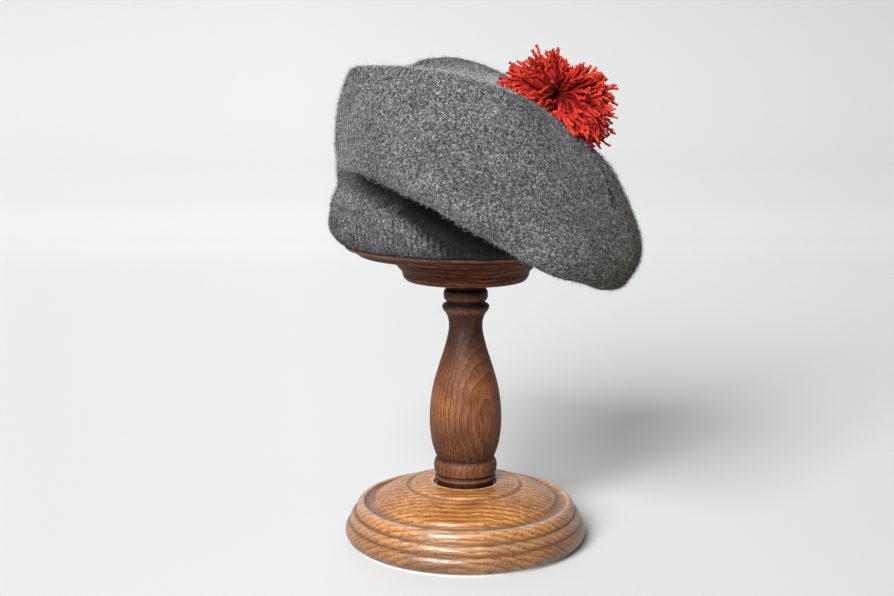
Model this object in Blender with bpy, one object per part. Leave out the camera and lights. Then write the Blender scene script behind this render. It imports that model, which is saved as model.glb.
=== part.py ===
"""A knitted and fulled wool tam o' shanter with a pompom, resting on its turned oak hat stand.

Metres, +Z up. The origin is on the stand's axis, at the underside of its foot pad. The front of the
hat faces -Y, and its crown is pulled down towards +X. Tables are in millimetres and degrees.
"""

import math
import random
from collections import namedtuple

import bmesh
import bpy
import numpy as np
from mathutils import Vector
from mathutils.bvhtree import BVHTree

MM = 0.001
GAP = 0.3  # clearance between pieces that touch

# ---------------------------------------------------------------- driving sizes, in millimetres
PAD_THICKNESS = 1.2
PAD_RADIUS = 79.4
BASE_RADIUS = 84.3  # at the widest round of the foot
BASE_TOP_Z = 41.6
COLUMN_TOP_Z = 184.2  # shoulder under the plate
COLUMN_FOOT_Z = 40.3
TENON_RADIUS = 8.0
TENON_LENGTH = 14.0
PLATE_RADIUS = 82.6
PLATE_TOP_Z = 209.5

HEM_Z = PLATE_TOP_Z + GAP  # the band stands on the plate
BAND_TOP_Z = 236.0
BAND_WALL = 3.6
RIB_COUNT = 72  # each stands for two knitted ribs
RIB_DEPTH = 0.9
HEM_LIFT = 4.2  # greatest rise of the hem off the plate, where the crown's weight pulls it up
HEM_LIFT_AZIMUTH = 192.0  # at the left, across from the side that the crown hangs down on
HEM_LIFT_SPREAD = 5.0  # the higher, the narrower the stretch that rises
HEM_ROLL = (82.0, 90.0)  # the hem rises from the first radius, wholly from the second on
PRESS_DEPTH = 20.0  # how far the fold of the crown presses the band's front in
PRESS_AZIMUTH = 262.0
PRESS_REACH = 54.0  # to each side of that azimuth, in degrees
PRESS_FOOT_Z = 216.5  # where it starts, over the line along which the fold comes down
PRESS_FOOT_FALL = 0.9  # fall of that line for each degree to the right
PRESS_LOWEST_Z = 211.0
PRESS_RISE = 12.0  # height over which the band goes in

SEAM_Z = BAND_TOP_Z + GAP  # where the crown is joined to the band
SEAM_RADIUS = 90.6
SEAM_NECK = 4.0  # the crown rises straight from the seam this far
FOLD_BACK = 8.0  # the underside turns this far behind the lip, so that the fold is a roll and no edge
FOLD_BACK_SHARE = 0.35  # and at most this share of the way to the tuck
CREST_IN = 8.0  # the crown turns onto its top over this width behind the ridge
CREST_DROP = 4.0
CROWN_WALL = 3.2
CROWN_CENTRE = (54.5, -25.0, 301.0)  # the middle of the crown's disc, under the pompom
CENTRE_SLOPE = (-0.60, 0.02)  # fall of the crown there, along X and Y
CENTRE_RING = 16.0  # greatest radius of the smooth patch round the middle
CENTRE_SHARE = 0.24  # and its greatest share of the way to the ridge
CENTRE_ROUNDING = 80.0  # its radius of curvature

POMPOM_SPREAD = 40.5  # reach of the locks along the crown
POMPOM_HEIGHT = 24.0  # reach of the locks away from the crown
POMPOM_SEAT = 8.5  # depth of the core under the heart of the pompom
LOCK_GRID = 5  # locks along each side of the cube that the core is drawn from
LOCK_ROOT = 0.36  # where the locks part from the core, as a share of their reach
LOCK_REACHES = (0.90, 1.05)  # shortest and longest lock, as shares of the reach
LOCK_SWAY = 0.045
LOCK_TRIMS = (1.0, 0.9, 0.8, 0.7, 0.6)  # a lock that meets the crown is cut back by these
LOCK_CLEARANCE = 0.5  # the least height of a lock's corners over the crown
LOWEST_LOCK = -0.5  # below this slope the core stays bare, against the crown

SEED = 11

LATHE_SEGMENTS = 44  # round the wide turned pieces
COLUMN_SEGMENTS = 20

# ---------------------------------------------------------------- turned profiles: radius, height
Turn = namedtuple("Turn", "radius z")

BASE_PROFILE = [
    Turn(0.0, COLUMN_FOOT_Z - TENON_LENGTH - 2 * GAP),
    Turn(TENON_RADIUS + GAP, COLUMN_FOOT_Z - TENON_LENGTH - 2 * GAP),
    Turn(TENON_RADIUS + GAP, COLUMN_FOOT_Z - GAP),
    Turn(22.4, COLUMN_FOOT_Z - GAP),
    Turn(23.9, BASE_TOP_Z),
    Turn(38.2, 40.2),
    Turn(39.6, 38.6),
    Turn(41.2, 39.4),
    Turn(62.8, 30.4),
    Turn(66.6, 26.6),
    Turn(69.6, 26.9),
    Turn(71.0, 28.4),
    Turn(74.6, 27.2),
    Turn(76.8, 22.4),
    Turn(77.4, 20.2),
    Turn(80.2, 18.8),
    Turn(80.8, 14.0),
    Turn(83.6, 11.8),
    Turn(BASE_RADIUS, 7.4),
    Turn(80.2, PAD_THICKNESS + GAP),
    Turn(0.0, PAD_THICKNESS + GAP),
]

COLUMN_PROFILE = [
    Turn(0.0, COLUMN_TOP_Z + TENON_LENGTH),
    Turn(TENON_RADIUS, COLUMN_TOP_Z + TENON_LENGTH),
    Turn(TENON_RADIUS, COLUMN_TOP_Z),
    Turn(14.0, COLUMN_TOP_Z),
    Turn(13.3, 178.6),
    Turn(15.3, 174.2),
    Turn(13.4, 169.2),
    Turn(16.1, 166.6),
    Turn(15.6, 163.2),
    Turn(11.9, 156.4),
    Turn(11.7, 150.0),
    Turn(14.2, 138.4),
    Turn(18.6, 124.4),
    Turn(22.6, 110.0),
    Turn(24.7, 95.0),
    Turn(24.7, 81.0),
    Turn(22.9, 68.0),
    Turn(19.7, 58.6),
    Turn(21.8, 55.6),
    Turn(21.8, 51.0),
    Turn(20.4, 49.8),
    Turn(21.7, 48.4),
    Turn(21.4, 43.0),
    Turn(20.2, COLUMN_FOOT_Z),
    Turn(TENON_RADIUS, COLUMN_FOOT_Z),
    Turn(TENON_RADIUS, COLUMN_FOOT_Z - TENON_LENGTH),
    Turn(0.0, COLUMN_FOOT_Z - TENON_LENGTH),
]

PLATE_PROFILE = [
    Turn(0.0, PLATE_TOP_Z),
    Turn(81.6, PLATE_TOP_Z),
    Turn(PLATE_RADIUS, 208.4),
    Turn(81.6, 206.9),
    Turn(76.2, 205.0),
    Turn(74.8, 203.8),
    Turn(73.0, 202.3),
    Turn(50.6, 201.2),
    Turn(48.8, 196.8),
    Turn(45.6, 192.4),
    Turn(43.6, 190.2),
    Turn(42.6, 186.4),
    Turn(40.8, COLUMN_TOP_Z + GAP),
    Turn(TENON_RADIUS + GAP, COLUMN_TOP_Z + GAP),
    Turn(TENON_RADIUS + GAP, COLUMN_TOP_Z + TENON_LENGTH + 2 * GAP),
    Turn(0.0, COLUMN_TOP_Z + TENON_LENGTH + 2 * GAP),
]

PAD_PROFILE = [
    Turn(0.0, PAD_THICKNESS),
    Turn(PAD_RADIUS, PAD_THICKNESS),
    Turn(PAD_RADIUS, 0.0),
    Turn(0.0, 0.0),
]

# The knitted band's section, up its outer side from the hem that curls in under it, and down inside.
# depth is the share of the rib depth cut there.
BandPoint = namedtuple("BandPoint", "radius z depth")
BAND_SECTION = [
    BandPoint(82.0, HEM_Z, 0.0),
    BandPoint(86.4, HEM_Z, 0.4),
    BandPoint(91.0, HEM_Z + 4.4, 1.0),
    BandPoint(92.8, HEM_Z + 10.4, 1.0),
    BandPoint(92.2, HEM_Z + 19.0, 1.0),
    BandPoint(90.8, BAND_TOP_Z, 0.6),
    BandPoint(90.8 - BAND_WALL, BAND_TOP_Z, 0.0),
    BandPoint(92.3 - BAND_WALL - RIB_DEPTH, HEM_Z + 12.0, 0.0),
]

# The crown's outer surface, a row for each upright section round the hat. Azimuth 0 is the right
# (+X) and 270 the front (-Y). Each pair is a distance from the axis and a height.
#   tuck   where the underside turns from the band's edge towards the rim
#   lip    the lowest line of the rim, which rolls under to the tuck
#   rim    the outermost line
#   brow   half way up the side of the crown
#   ridge  the crest where the side turns onto the top
#   dish_z height half way from the ridge to the crown's middle
Section = namedtuple(
    "Section", "azimuth tuck_r tuck_z lip_r lip_z rim_r rim_z brow_r brow_z ridge_r ridge_z dish_z"
)
CROWN_SECTIONS = [
    Section(0, 98, 236, 99, 189, 117, 208, 108, 240, 95, 263, 287),
    Section(30, 97, 238, 109, 196, 122, 217, 111, 252, 90, 283, 295),
    Section(60, 97, 242, 111, 218, 122, 238, 107, 279, 77, 318, 307),
    Section(90, 96, 246, 107, 241, 118, 257, 99, 298, 60, 332.2, 313),
    Section(118, 93.5, 250, 98, 255, 106, 272, 93, 308, 60, 333.0, 316),
    Section(129, 92.2, 250.6, 95.2, 257.7, 101.5, 276.3, 91, 308, 62.5, 328.4, 316.5),
    Section(138, 91, 251, 93, 260, 97.5, 280, 89, 309, 66, 327.8, 317),
    Section(158, 89, 251, 89.2, 262, 90, 284, 86.2, 308, 72, 327.4, 318),
    Section(180, 86.8, 250, 86.6, 264, 87.2, 283, 84.8, 306.5, 75, 326.2, 318),
    Section(205, 85.6, 254, 88.6, 264, 90, 279, 86.5, 303, 78, 328.3, 318),
    Section(222, 84.0, 258, 93, 262, 97.5, 273, 89.5, 300, 77, 329.2, 317),
    Section(240, 73, 262, 102, 256.5, 108.5, 268.5, 94, 293, 77, 328.8, 316),
    Section(258, 69, 260, 115, 245, 122.5, 258, 100, 284, 77, 325.8, 314),
    Section(275, 71, 256, 124, 226.5, 132, 239.5, 105.5, 273, 77, 320.6, 311),
    Section(292, 80, 250, 129, 205.3, 136.5, 220, 110.5, 260, 78, 312.4, 305),
    Section(304, 92, 243, 127, 197.2, 135.5, 212, 113, 251, 80, 304, 301),
    Section(312, 99, 240, 124, 191.6, 133, 207, 114, 245, 83, 296.6, 299),
    Section(335, 99, 236, 110.5, 187, 122.5, 204.5, 111, 241, 90, 274, 292),
]
# how many strips of faces lie between one line of the crown and the next, from the seam up
CROWN_STRIPS = (1, 2, 1, 1, 2, 3, 3, 1, 2, 2, 1)
CROWN_SEGMENTS = 48

# ---------------------------------------------------------------- materials
Finish = namedtuple("Finish", "colour roughness")
FINISHES = {
    "oak_light": Finish((0.42, 0.19, 0.07), 0.38),
    "oak_dark": Finish((0.16, 0.06, 0.03), 0.42),
    "grey_wool": Finish((0.12, 0.125, 0.125), 0.95),
    "red_wool": Finish((0.50, 0.030, 0.018), 0.90),
    "pad_felt": Finish((0.55, 0.55, 0.52), 0.95),
}


def material(slot):
    """The Principled material of that name, made once."""
    found = bpy.data.materials.get(slot)
    if found:
        return found
    finish = FINISHES[slot]
    made = bpy.data.materials.new(slot)
    made.use_nodes = True
    shader = made.node_tree.nodes["Principled BSDF"]
    shader.inputs["Base Color"].default_value = (*finish.colour, 1.0)
    shader.inputs["Roughness"].default_value = finish.roughness
    shader.inputs["Metallic"].default_value = 0.0
    made.diffuse_color = (*finish.colour, 1.0)
    return made


def piece(name, points_mm, faces, slot, smooth_angle=40.0):
    """One named object from points in millimetres and lists of point numbers."""
    mesh = bpy.data.meshes.new(name)
    mesh.from_pydata([tuple(MM * c for c in p) for p in points_mm], [], faces)
    mesh.materials.append(material(slot))
    mesh.shade_smooth()
    mesh.set_sharp_from_angle(angle=math.radians(smooth_angle))
    made = bpy.data.objects.new(name, mesh)
    bpy.context.scene.collection.objects.link(made)
    return made


def turned(name, profile, slot, segments):
    """A lathe-turned piece: the profile runs down the outer side, and is spun about Z."""
    points = [(turn.radius, 0.0, turn.z) for turn in profile]
    made = piece(name, points, [], slot)
    made.data.edges.add(len(points) - 1)
    for i, edge in enumerate(made.data.edges):
        edge.vertices = (i, i + 1)
    screw = made.modifiers.new("spin", "SCREW")
    screw.axis = "Z"
    screw.steps = segments
    screw.render_steps = segments
    screw.use_merge_vertices = True
    screw.merge_threshold = 0.00005
    screw.use_smooth_shade = True
    return made


def hermite(start, leaving, end, arriving, share):
    """A cubic from start to end with the given slopes, read at a share of the way."""
    return (
        (2 * share**3 - 3 * share**2 + 1) * start
        + (share**3 - 2 * share**2 + share) * leaving
        + (3 * share**2 - 2 * share**3) * end
        + (share**3 - share**2) * arriving
    )


def around(azimuths, values, azimuth):
    """A smooth closed curve through values at the given azimuths, in degrees, read at azimuth."""
    count = len(azimuths)
    knots = [azimuths[i % count] + 360.0 * (i // count) for i in range(-1, count + 2)]
    heights = [values[i % count] for i in range(-1, count + 2)]
    at = azimuth % 360.0
    i = max(i for i in range(1, count + 1) if knots[i] <= at)
    width = knots[i + 1] - knots[i]
    leaving, arriving = (
        width * (heights[j + 1] - heights[j - 1]) / (knots[j + 1] - knots[j - 1]) for j in (i, i + 1)
    )
    return hermite(heights[i], leaving, heights[i + 1], arriving, (at - knots[i]) / width)


def smooth_path(controls, strips):
    """Points on a rounded curve through the controls, with a number of strips between each two."""
    line = np.array(controls, float)
    line = np.vstack([2 * line[0] - line[1], line, 2 * line[-1] - line[-2]])
    steps = np.linalg.norm(np.diff(line, axis=0), axis=1) ** 0.5
    slopes = np.diff(line, axis=0) / steps[:, None]
    made = [line[1]]
    for i, count in enumerate(strips, start=1):
        before, here, after = steps[i - 1 : i + 2]
        leaving = slopes[i - 1] + slopes[i] - (line[i + 1] - line[i - 1]) / (before + here)
        arriving = slopes[i] + slopes[i + 1] - (line[i + 2] - line[i]) / (here + after)
        for k in range(1, count + 1):
            made.append(hermite(line[i], here * leaving, line[i + 1], here * arriving, k / count))
    return made


def hem_lift(azimuth, radius, z):
    """How far the band's lower edge has risen there; nothing of it is left at the seam."""
    facing_it = 0.5 + 0.5 * math.cos(math.radians(azimuth - HEM_LIFT_AZIMUTH))
    outside = min(1.0, max(0.0, (radius - HEM_ROLL[0]) / (HEM_ROLL[1] - HEM_ROLL[0])))
    return HEM_LIFT * facing_it**HEM_LIFT_SPREAD * outside * (SEAM_Z - z) / (SEAM_Z - HEM_Z)


def pressed(azimuth, z):
    """How far the fold has pressed the band in, or the crown where it is joined to the band."""
    beside = azimuth - PRESS_AZIMUTH
    share = 0.5 + 0.5 * math.cos(math.pi * min(1.0, abs(beside) / PRESS_REACH))
    foot = max(PRESS_LOWEST_Z, PRESS_FOOT_Z - PRESS_FOOT_FALL * beside)
    rise = min(1.0, max(0.0, (z - foot) / PRESS_RISE))
    return PRESS_DEPTH * share * rise * rise * (3 - 2 * rise)


def crown_line(azimuth):
    """The crown's outer surface along one upright section, from the seam to the crown's middle."""
    azimuths = [row.azimuth for row in CROWN_SECTIONS]
    at = {
        name: around(azimuths, [getattr(row, name) for row in CROWN_SECTIONS], azimuth)
        for name in Section._fields[1:]
    }
    turn = math.radians(azimuth)
    out = np.array([math.cos(turn), math.sin(turn), 0.0])
    up = np.array([0.0, 0.0, 1.0])
    centre = np.array(CROWN_CENTRE)

    seam = (SEAM_RADIUS - pressed(azimuth, SEAM_Z)) * out + SEAM_Z * up
    neck = seam + SEAM_NECK * up
    tuck = at["tuck_r"] * out + at["tuck_z"] * up
    lip = at["lip_r"] * out + at["lip_z"] * up
    rim = at["rim_r"] * out + at["rim_z"] * up
    brow = at["brow_r"] * out + at["brow_z"] * up
    ridge = at["ridge_r"] * out + at["ridge_z"] * up
    under = tuck - lip
    fold = lip + under * min(FOLD_BACK / np.linalg.norm(under), FOLD_BACK_SHARE)
    dish = 0.5 * (ridge + centre)
    dish[2] = at["dish_z"]
    away = ridge - centre
    away[2] = 0.0
    reach = min(CENTRE_RING, CENTRE_SHARE * np.linalg.norm(away))
    away /= np.linalg.norm(away)
    crest = ridge - CREST_IN * away - CREST_DROP * up
    patch = centre + reach * away
    patch[2] += reach * (away[0] * CENTRE_SLOPE[0] + away[1] * CENTRE_SLOPE[1])
    patch[2] -= reach**2 / (2 * CENTRE_ROUNDING)
    return smooth_path(
        [seam, neck, tuck, fold, lip, rim, brow, ridge, crest, dish, patch, centre], CROWN_STRIPS
    )


def hat_crown():
    """The fulled crown: one soft shell, open below where the band joins it."""
    lines = [crown_line(360.0 * k / CROWN_SEGMENTS) for k in range(CROWN_SEGMENTS)]
    rings = len(lines[0]) - 1
    points = [line[j] for j in range(rings) for line in lines]
    points.append(np.array(CROWN_CENTRE))
    faces = []
    for j in range(rings - 1):
        for k in range(CROWN_SEGMENTS):
            right = (k + 1) % CROWN_SEGMENTS
            low, high = j * CROWN_SEGMENTS, (j + 1) * CROWN_SEGMENTS
            faces.append((low + k, low + right, high + right, high + k))
    last = (rings - 1) * CROWN_SEGMENTS
    for k in range(CROWN_SEGMENTS):
        faces.append((last + k, last + (k + 1) % CROWN_SEGMENTS, len(points) - 1))
    crown = piece("hat_crown", points, faces, "grey_wool", 70.0)
    wall = crown.modifiers.new("felt wall", "SOLIDIFY")
    wall.thickness = CROWN_WALL * MM
    wall.offset = -1.0
    wall.use_even_offset = False
    return crown


def hat_band():
    """The ribbed band that the head goes into, a closed ring standing on the plate."""
    segments = 2 * RIB_COUNT
    points, faces = [], []
    for k in range(segments):
        azimuth = 360.0 * k / segments
        turn = math.radians(azimuth)
        cut = RIB_DEPTH * (k % 2)
        for spot in BAND_SECTION:
            radius = spot.radius - cut * spot.depth - pressed(azimuth, spot.z)
            z = spot.z + hem_lift(azimuth, spot.radius, spot.z)
            points.append((radius * math.cos(turn), radius * math.sin(turn), z))
    count = len(BAND_SECTION)
    for k in range(segments):
        here, right = k * count, ((k + 1) % segments) * count
        for i in range(count):
            j = (i + 1) % count
            faces.append((here + i, right + i, right + j, here + j))
    return piece("hat_band", points, faces, "grey_wool")


def clearance(spot, crown_tree):
    """How far a point in millimetres stands off the crown's outer side, negative where inside it."""
    nearest, normal, _, _ = crown_tree.find_nearest(Vector(spot) * MM)
    return (Vector(spot) * MM - nearest).dot(normal) / MM


def pompom(crown):
    """A core with a lock of yarn drawn out of each of its upper faces, sewn to the crown's middle."""
    bpy.context.view_layer.update()
    felt = crown.evaluated_get(bpy.context.evaluated_depsgraph_get()).to_mesh()
    corners_of = [tuple(polygon.vertices) for polygon in felt.polygons]
    crown_tree = BVHTree.FromPolygons([vert.co for vert in felt.vertices], corners_of)
    rng = random.Random(SEED)

    out = Vector((-CENTRE_SLOPE[0], -CENTRE_SLOPE[1], 1.0)).normalized()
    across = out.orthogonal().normalized()
    along = out.cross(across)
    heart = Vector(CROWN_CENTRE) + (POMPOM_SEAT + 3 * GAP) * out

    def place(aim):
        """A direction from the heart, stretched to the pompom's flattened shape."""
        spread = POMPOM_SPREAD * (aim.x * across + aim.y * along)
        return heart + spread + POMPOM_HEIGHT * aim.z * out

    def lock(aims, reach, sway):
        """Two squares of corners up one lock: share of its length, of its width, of its sway."""
        middle = sum(aims, Vector()) / 4
        rows = []
        for share, width, lean in ((0.55, 0.68, 0.3), (1.0, 0.46, 1.0)):
            length = LOCK_ROOT + (reach - LOCK_ROOT) * share
            rows.append([place(length * (middle + width * (aim - middle) + lean * sway)) for aim in aims])
        return rows

    grid = bmesh.new()
    bmesh.ops.create_cube(grid, size=2.0)
    bmesh.ops.subdivide_edges(grid, edges=grid.edges[:], cuts=LOCK_GRID - 1, use_grid_fill=True)
    points, faces = [], []
    for vert in grid.verts:
        root = LOCK_ROOT * vert.co.normalized()
        root.z = max(root.z, -POMPOM_SEAT / POMPOM_HEIGHT)
        points.append(tuple(place(root)))
    for face in grid.faces:
        below = [vert.index for vert in face.verts]
        aims = [vert.co.normalized() for vert in face.verts]
        sway = LOCK_SWAY * Vector([rng.uniform(-1, 1) for _ in range(3)])
        reach = rng.uniform(*LOCK_REACHES)
        tries = [lock(aims, reach * trim, sway) for trim in LOCK_TRIMS]
        clear = [
            rows for rows in tries
            if all(clearance(spot, crown_tree) > LOCK_CLEARANCE for row in rows for spot in row)
        ]
        if clear and sum(aim.z for aim in aims) / 4 > LOWEST_LOCK:
            for row in clear[0]:
                above = list(range(len(points), len(points) + 4))
                points.extend(tuple(spot) for spot in row)
                faces.extend((below[i], below[i - 3], above[i - 3], above[i]) for i in range(4))
                below = above
        faces.append(below)
    grid.free()
    return piece("pompom", points, faces, "red_wool")


def clear_scene():
    for old in list(bpy.data.objects):
        bpy.data.objects.remove(old)


def build():
    clear_scene()
    turned("foot_pad", PAD_PROFILE, "pad_felt", LATHE_SEGMENTS)
    turned("stand_base", BASE_PROFILE, "oak_light", LATHE_SEGMENTS)
    turned("stand_column", COLUMN_PROFILE, "oak_dark", COLUMN_SEGMENTS)
    turned("stand_plate", PLATE_PROFILE, "oak_dark", LATHE_SEGMENTS)
    hat_band()
    crown = hat_crown()
    pompom(crown)


build()
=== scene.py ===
import math
import random
from collections import namedtuple

import bmesh
import bpy
import numpy as np
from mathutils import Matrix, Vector, noise
from mathutils.bvhtree import BVHTree


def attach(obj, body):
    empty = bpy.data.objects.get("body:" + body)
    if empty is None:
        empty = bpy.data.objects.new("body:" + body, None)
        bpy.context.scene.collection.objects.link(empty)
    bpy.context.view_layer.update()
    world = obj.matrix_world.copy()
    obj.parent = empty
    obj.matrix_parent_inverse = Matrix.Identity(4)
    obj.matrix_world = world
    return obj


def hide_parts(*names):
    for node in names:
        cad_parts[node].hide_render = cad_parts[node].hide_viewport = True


# A fulled wool tam o' shanter with a pompom of red yarn, resting on its turned oak hat stand.
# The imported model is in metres, +Z up, with its origin under the middle of the stand's foot. The
# tables below are in millimetres and degrees, as in the part's own source.
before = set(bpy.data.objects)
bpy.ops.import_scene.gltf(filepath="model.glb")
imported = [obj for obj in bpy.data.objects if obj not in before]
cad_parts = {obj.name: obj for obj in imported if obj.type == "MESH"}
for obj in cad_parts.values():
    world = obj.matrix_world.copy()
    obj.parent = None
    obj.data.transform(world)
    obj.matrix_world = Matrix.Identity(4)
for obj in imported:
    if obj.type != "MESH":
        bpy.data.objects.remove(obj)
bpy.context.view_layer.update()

# ==================================================================== foot pad
# A thin disc of pale felt glued under the base, so that the stand doesn't mark a table. It keeps the
# shape of its CAD node, and gets its matted, slightly speckled felt here.


def node(tree, kind, inputs=None, **settings):
    """Add a node to a tree. Its inputs are given by name or number, as values or as other outputs."""
    made = tree.nodes.new(kind)
    for name, value in settings.items():
        setattr(made, name, value)
    for key, value in (inputs or {}).items():
        if isinstance(value, bpy.types.NodeSocket):
            tree.links.new(value, made.inputs[key])
        else:
            made.inputs[key].default_value = value
    return made


def finish_named(name, **shader_values):
    """A material with its Principled shader's plain values set, and its tree."""
    made = bpy.data.materials.new(name)
    made.use_nodes = True
    shader = made.node_tree.nodes["Principled BSDF"]
    for key, value in shader_values.items():
        shader.inputs[key.replace("_", " ")].default_value = value
    return made, made.node_tree, shader


def millimetres(tree, stretch=(1, 1, 1), turn=(0, 0, 0), move=(0, 0, 0)):
    """Object coordinates in millimetres, turned and then stretched along each axis."""
    place = node(tree, "ShaderNodeTexCoord").outputs["Object"]
    scaled = [1000.0 * share for share in stretch]
    turned_to = node(
        tree, "ShaderNodeMapping", {"Vector": place, "Rotation": [math.radians(a) for a in turn]}
    )
    return node(
        tree, "ShaderNodeMapping",
        {"Vector": turned_to.outputs[0], "Scale": scaled, "Location": move},
    ).outputs[0]


def grain_noise(tree, place, scale, detail=2.0, roughness=0.5, distortion=0.0):
    """Soft random cells, from 0 to 1."""
    return node(
        tree, "ShaderNodeTexNoise",
        {"Vector": place, "Scale": scale, "Detail": detail, "Roughness": roughness,
         "Distortion": distortion},
    ).outputs["Fac"]


def ramp(tree, value, stops, smooth="LINEAR"):
    """A colour for each value, from a list of places and colours or greys."""
    made = node(tree, "ShaderNodeValToRGB", {"Fac": value})
    made.color_ramp.interpolation = smooth
    while len(made.color_ramp.elements) < len(stops):
        made.color_ramp.elements.new(0.5)
    for element, (place, colour) in zip(made.color_ramp.elements, stops):
        element.position = place
        element.color = (*colour, 1) if isinstance(colour, tuple) else (colour, colour, colour, 1)
    return made.outputs["Color"]


def maths(tree, operation, *values):
    """One sum on numbers or outputs."""
    return node(tree, "ShaderNodeMath", dict(enumerate(values)), operation=operation).outputs[0]


def times(tree, product, *others):
    """Numbers or outputs multiplied together."""
    for other in others:
        product = maths(tree, "MULTIPLY", product, other)
    return product


def plus(tree, total, *others):
    """Numbers or outputs added up."""
    for other in others:
        total = maths(tree, "ADD", total, other)
    return total


def blend(tree, share, first, second, how="MIX"):
    """Two colours mixed. The second may be a plain colour."""
    second = (*second, 1) if isinstance(second, tuple) else second
    return node(
        tree, "ShaderNodeMix", {0: share, 6: first, 7: second}, data_type="RGBA", blend_type=how
    ).outputs[2]


def multiplied(tree, first, second):
    """Two colours multiplied."""
    return blend(tree, 1.0, first, second, "MULTIPLY")


def parts(tree, vector):
    """The three numbers of a vector or a place."""
    return node(tree, "ShaderNodeSeparateXYZ", {0: vector}).outputs


def bumped(tree, shader, height, distance, strength=1.0):
    """Relief of so many millimetres at full height."""
    bump = node(
        tree, "ShaderNodeBump", {"Height": height, "Distance": distance / 1000, "Strength": strength}
    )
    tree.links.new(bump.outputs[0], shader.inputs["Normal"])


PAD_DARK, PAD_PALE = (0.42, 0.41, 0.38), (0.74, 0.73, 0.69)

pad_felt, tree, shader = finish_named("pad_felt", Roughness=0.95, Sheen_Weight=0.2)
matting = grain_noise(tree, millimetres(tree), 0.9, 4.0)
speckle = ramp(tree, matting, [(0.3, PAD_DARK), (0.7, PAD_PALE)])
tree.links.new(speckle, shader.inputs["Base Color"])
bumped(tree, shader, matting, 0.25)
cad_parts["foot_pad"].material_slots[0].material = pad_felt

# ==================================================================== turned base
# The wide foot of the stand, turned from a thick board of golden oak: a raised lip round the column, a
# cut ring, a low dome, a cove and a stepped rim. Its grain runs from left to right, in satin lacquer.

Turn = namedtuple("Turn", "radius z crisp")  # crisp: 1 at an arris or the root of a cut, 0 on a curve


def hermite(start, leaving, end, arriving, share):
    """A cubic from start to end with the given slopes, read at a share of the way."""
    return (
        (2 * share**3 - 3 * share**2 + 1) * start
        + (share**3 - 2 * share**2 + share) * leaving
        + (3 * share**2 - 2 * share**3) * end
        + (share**3 - share**2) * arriving
    )


def smooth_path(controls, strips):
    """Points on a rounded curve through the controls, with a number of strips between each two."""
    line = np.array(controls, float)
    line = np.vstack([2 * line[0] - line[1], line, 2 * line[-1] - line[-2]])
    steps = np.linalg.norm(np.diff(line, axis=0), axis=1) ** 0.5
    slopes = np.diff(line, axis=0) / steps[:, None]
    made = [line[1]]
    for i, count in enumerate(strips, start=1):
        before, here, after = steps[i - 1 : i + 2]
        leaving = slopes[i - 1] + slopes[i] - (line[i + 1] - line[i - 1]) / (before + here)
        arriving = slopes[i] + slopes[i + 1] - (line[i + 2] - line[i]) / (here + after)
        for k in range(1, count + 1):
            made.append(hermite(line[i], here * leaving, line[i + 1], here * arriving, k / count))
    return made


def turned_line(profile, strips=5, ease=0.3):
    """The line that the gouge cuts: curves between crisp corners, and each corner eased a little."""
    runs, run = [], [profile[0]]
    for turn in profile[1:]:
        run.append(turn)
        if turn.crisp:
            runs.append(run)
            run = [turn]
    if len(run) > 1:
        runs.append(run)
    line = []
    for run in runs:
        spots = [(turn.radius, turn.z) for turn in run]
        made = smooth_path(spots, [strips] * (len(spots) - 1)) if len(spots) > 2 else np.array(spots)
        if line:
            corner, before, after = line.pop(), line[-1], made[1]
            back, on = before - corner, after - corner
            for side in (back, on):
                length = np.linalg.norm(side)
                line.append(corner + side * min(ease, 0.4 * length) / length)
            line.extend(made[1:])
        else:
            line = list(made)
    return line


SHARP_FROM = 50.0  # degrees between two faces, from which the arris between them is drawn sharp
LINE_END = 2.5  # a long straight cut gets a ring this far from each of its ends
HOLLOW_SPAN = 3.2  # a groove's depth is taken from the line this far before and after it


def hollows(line):
    """How deep each point of a turned line lies between its neighbours: above 0 in a groove, below 0 at
    an arris, as shares of the distance to the neighbours."""
    along = np.concatenate([[0.0], np.cumsum(np.linalg.norm(np.diff(line, axis=0), axis=1))])
    before, after = (
        np.stack([np.interp(along + step, along, line[:, i]) for i in (0, 1)], axis=1)
        for step in (-HOLLOW_SPAN, HOLLOW_SPAN)
    )
    course = after - before
    outward = np.stack([-course[:, 1], course[:, 0]], axis=1)
    outward /= np.linalg.norm(outward, axis=1)[:, None] + 1e-9
    return np.sum((0.5 * (before + after) - line) * outward, axis=1) / HOLLOW_SPAN


def with_ends(line):
    """The line with a point near both ends of each long straight part, so that shade in a groove ends."""
    made = [line[0]]
    for spot, following in zip(line, line[1:]):
        step = following - spot
        length = np.linalg.norm(step)
        if length > 3 * LINE_END:
            made += [spot + step * LINE_END / length, following - step * LINE_END / length]
        made.append(following)
    return np.array(made)


def kept(name, mesh, finish, sharp=None):
    """A piece from a finished mesh, in its place, with one finish on it."""
    mesh.name = name
    mesh.materials.clear()
    mesh.materials.append(finish)
    mesh.shade_smooth()
    if sharp:
        mesh.set_sharp_from_angle(angle=math.radians(sharp))
    made = bpy.data.objects.new(name, mesh)
    bpy.context.scene.collection.objects.link(made)
    return made


def into_mesh(shape, name, **stored):
    """A mesh from a bmesh, with a number stored at each of its points under each name."""
    mesh = bpy.data.meshes.new(name)
    shape.to_mesh(mesh)
    shape.free()
    for key, values in stored.items():
        mesh.attributes.new(key, "FLOAT", "POINT").data.foreach_set("value", values)
    return mesh


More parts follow.
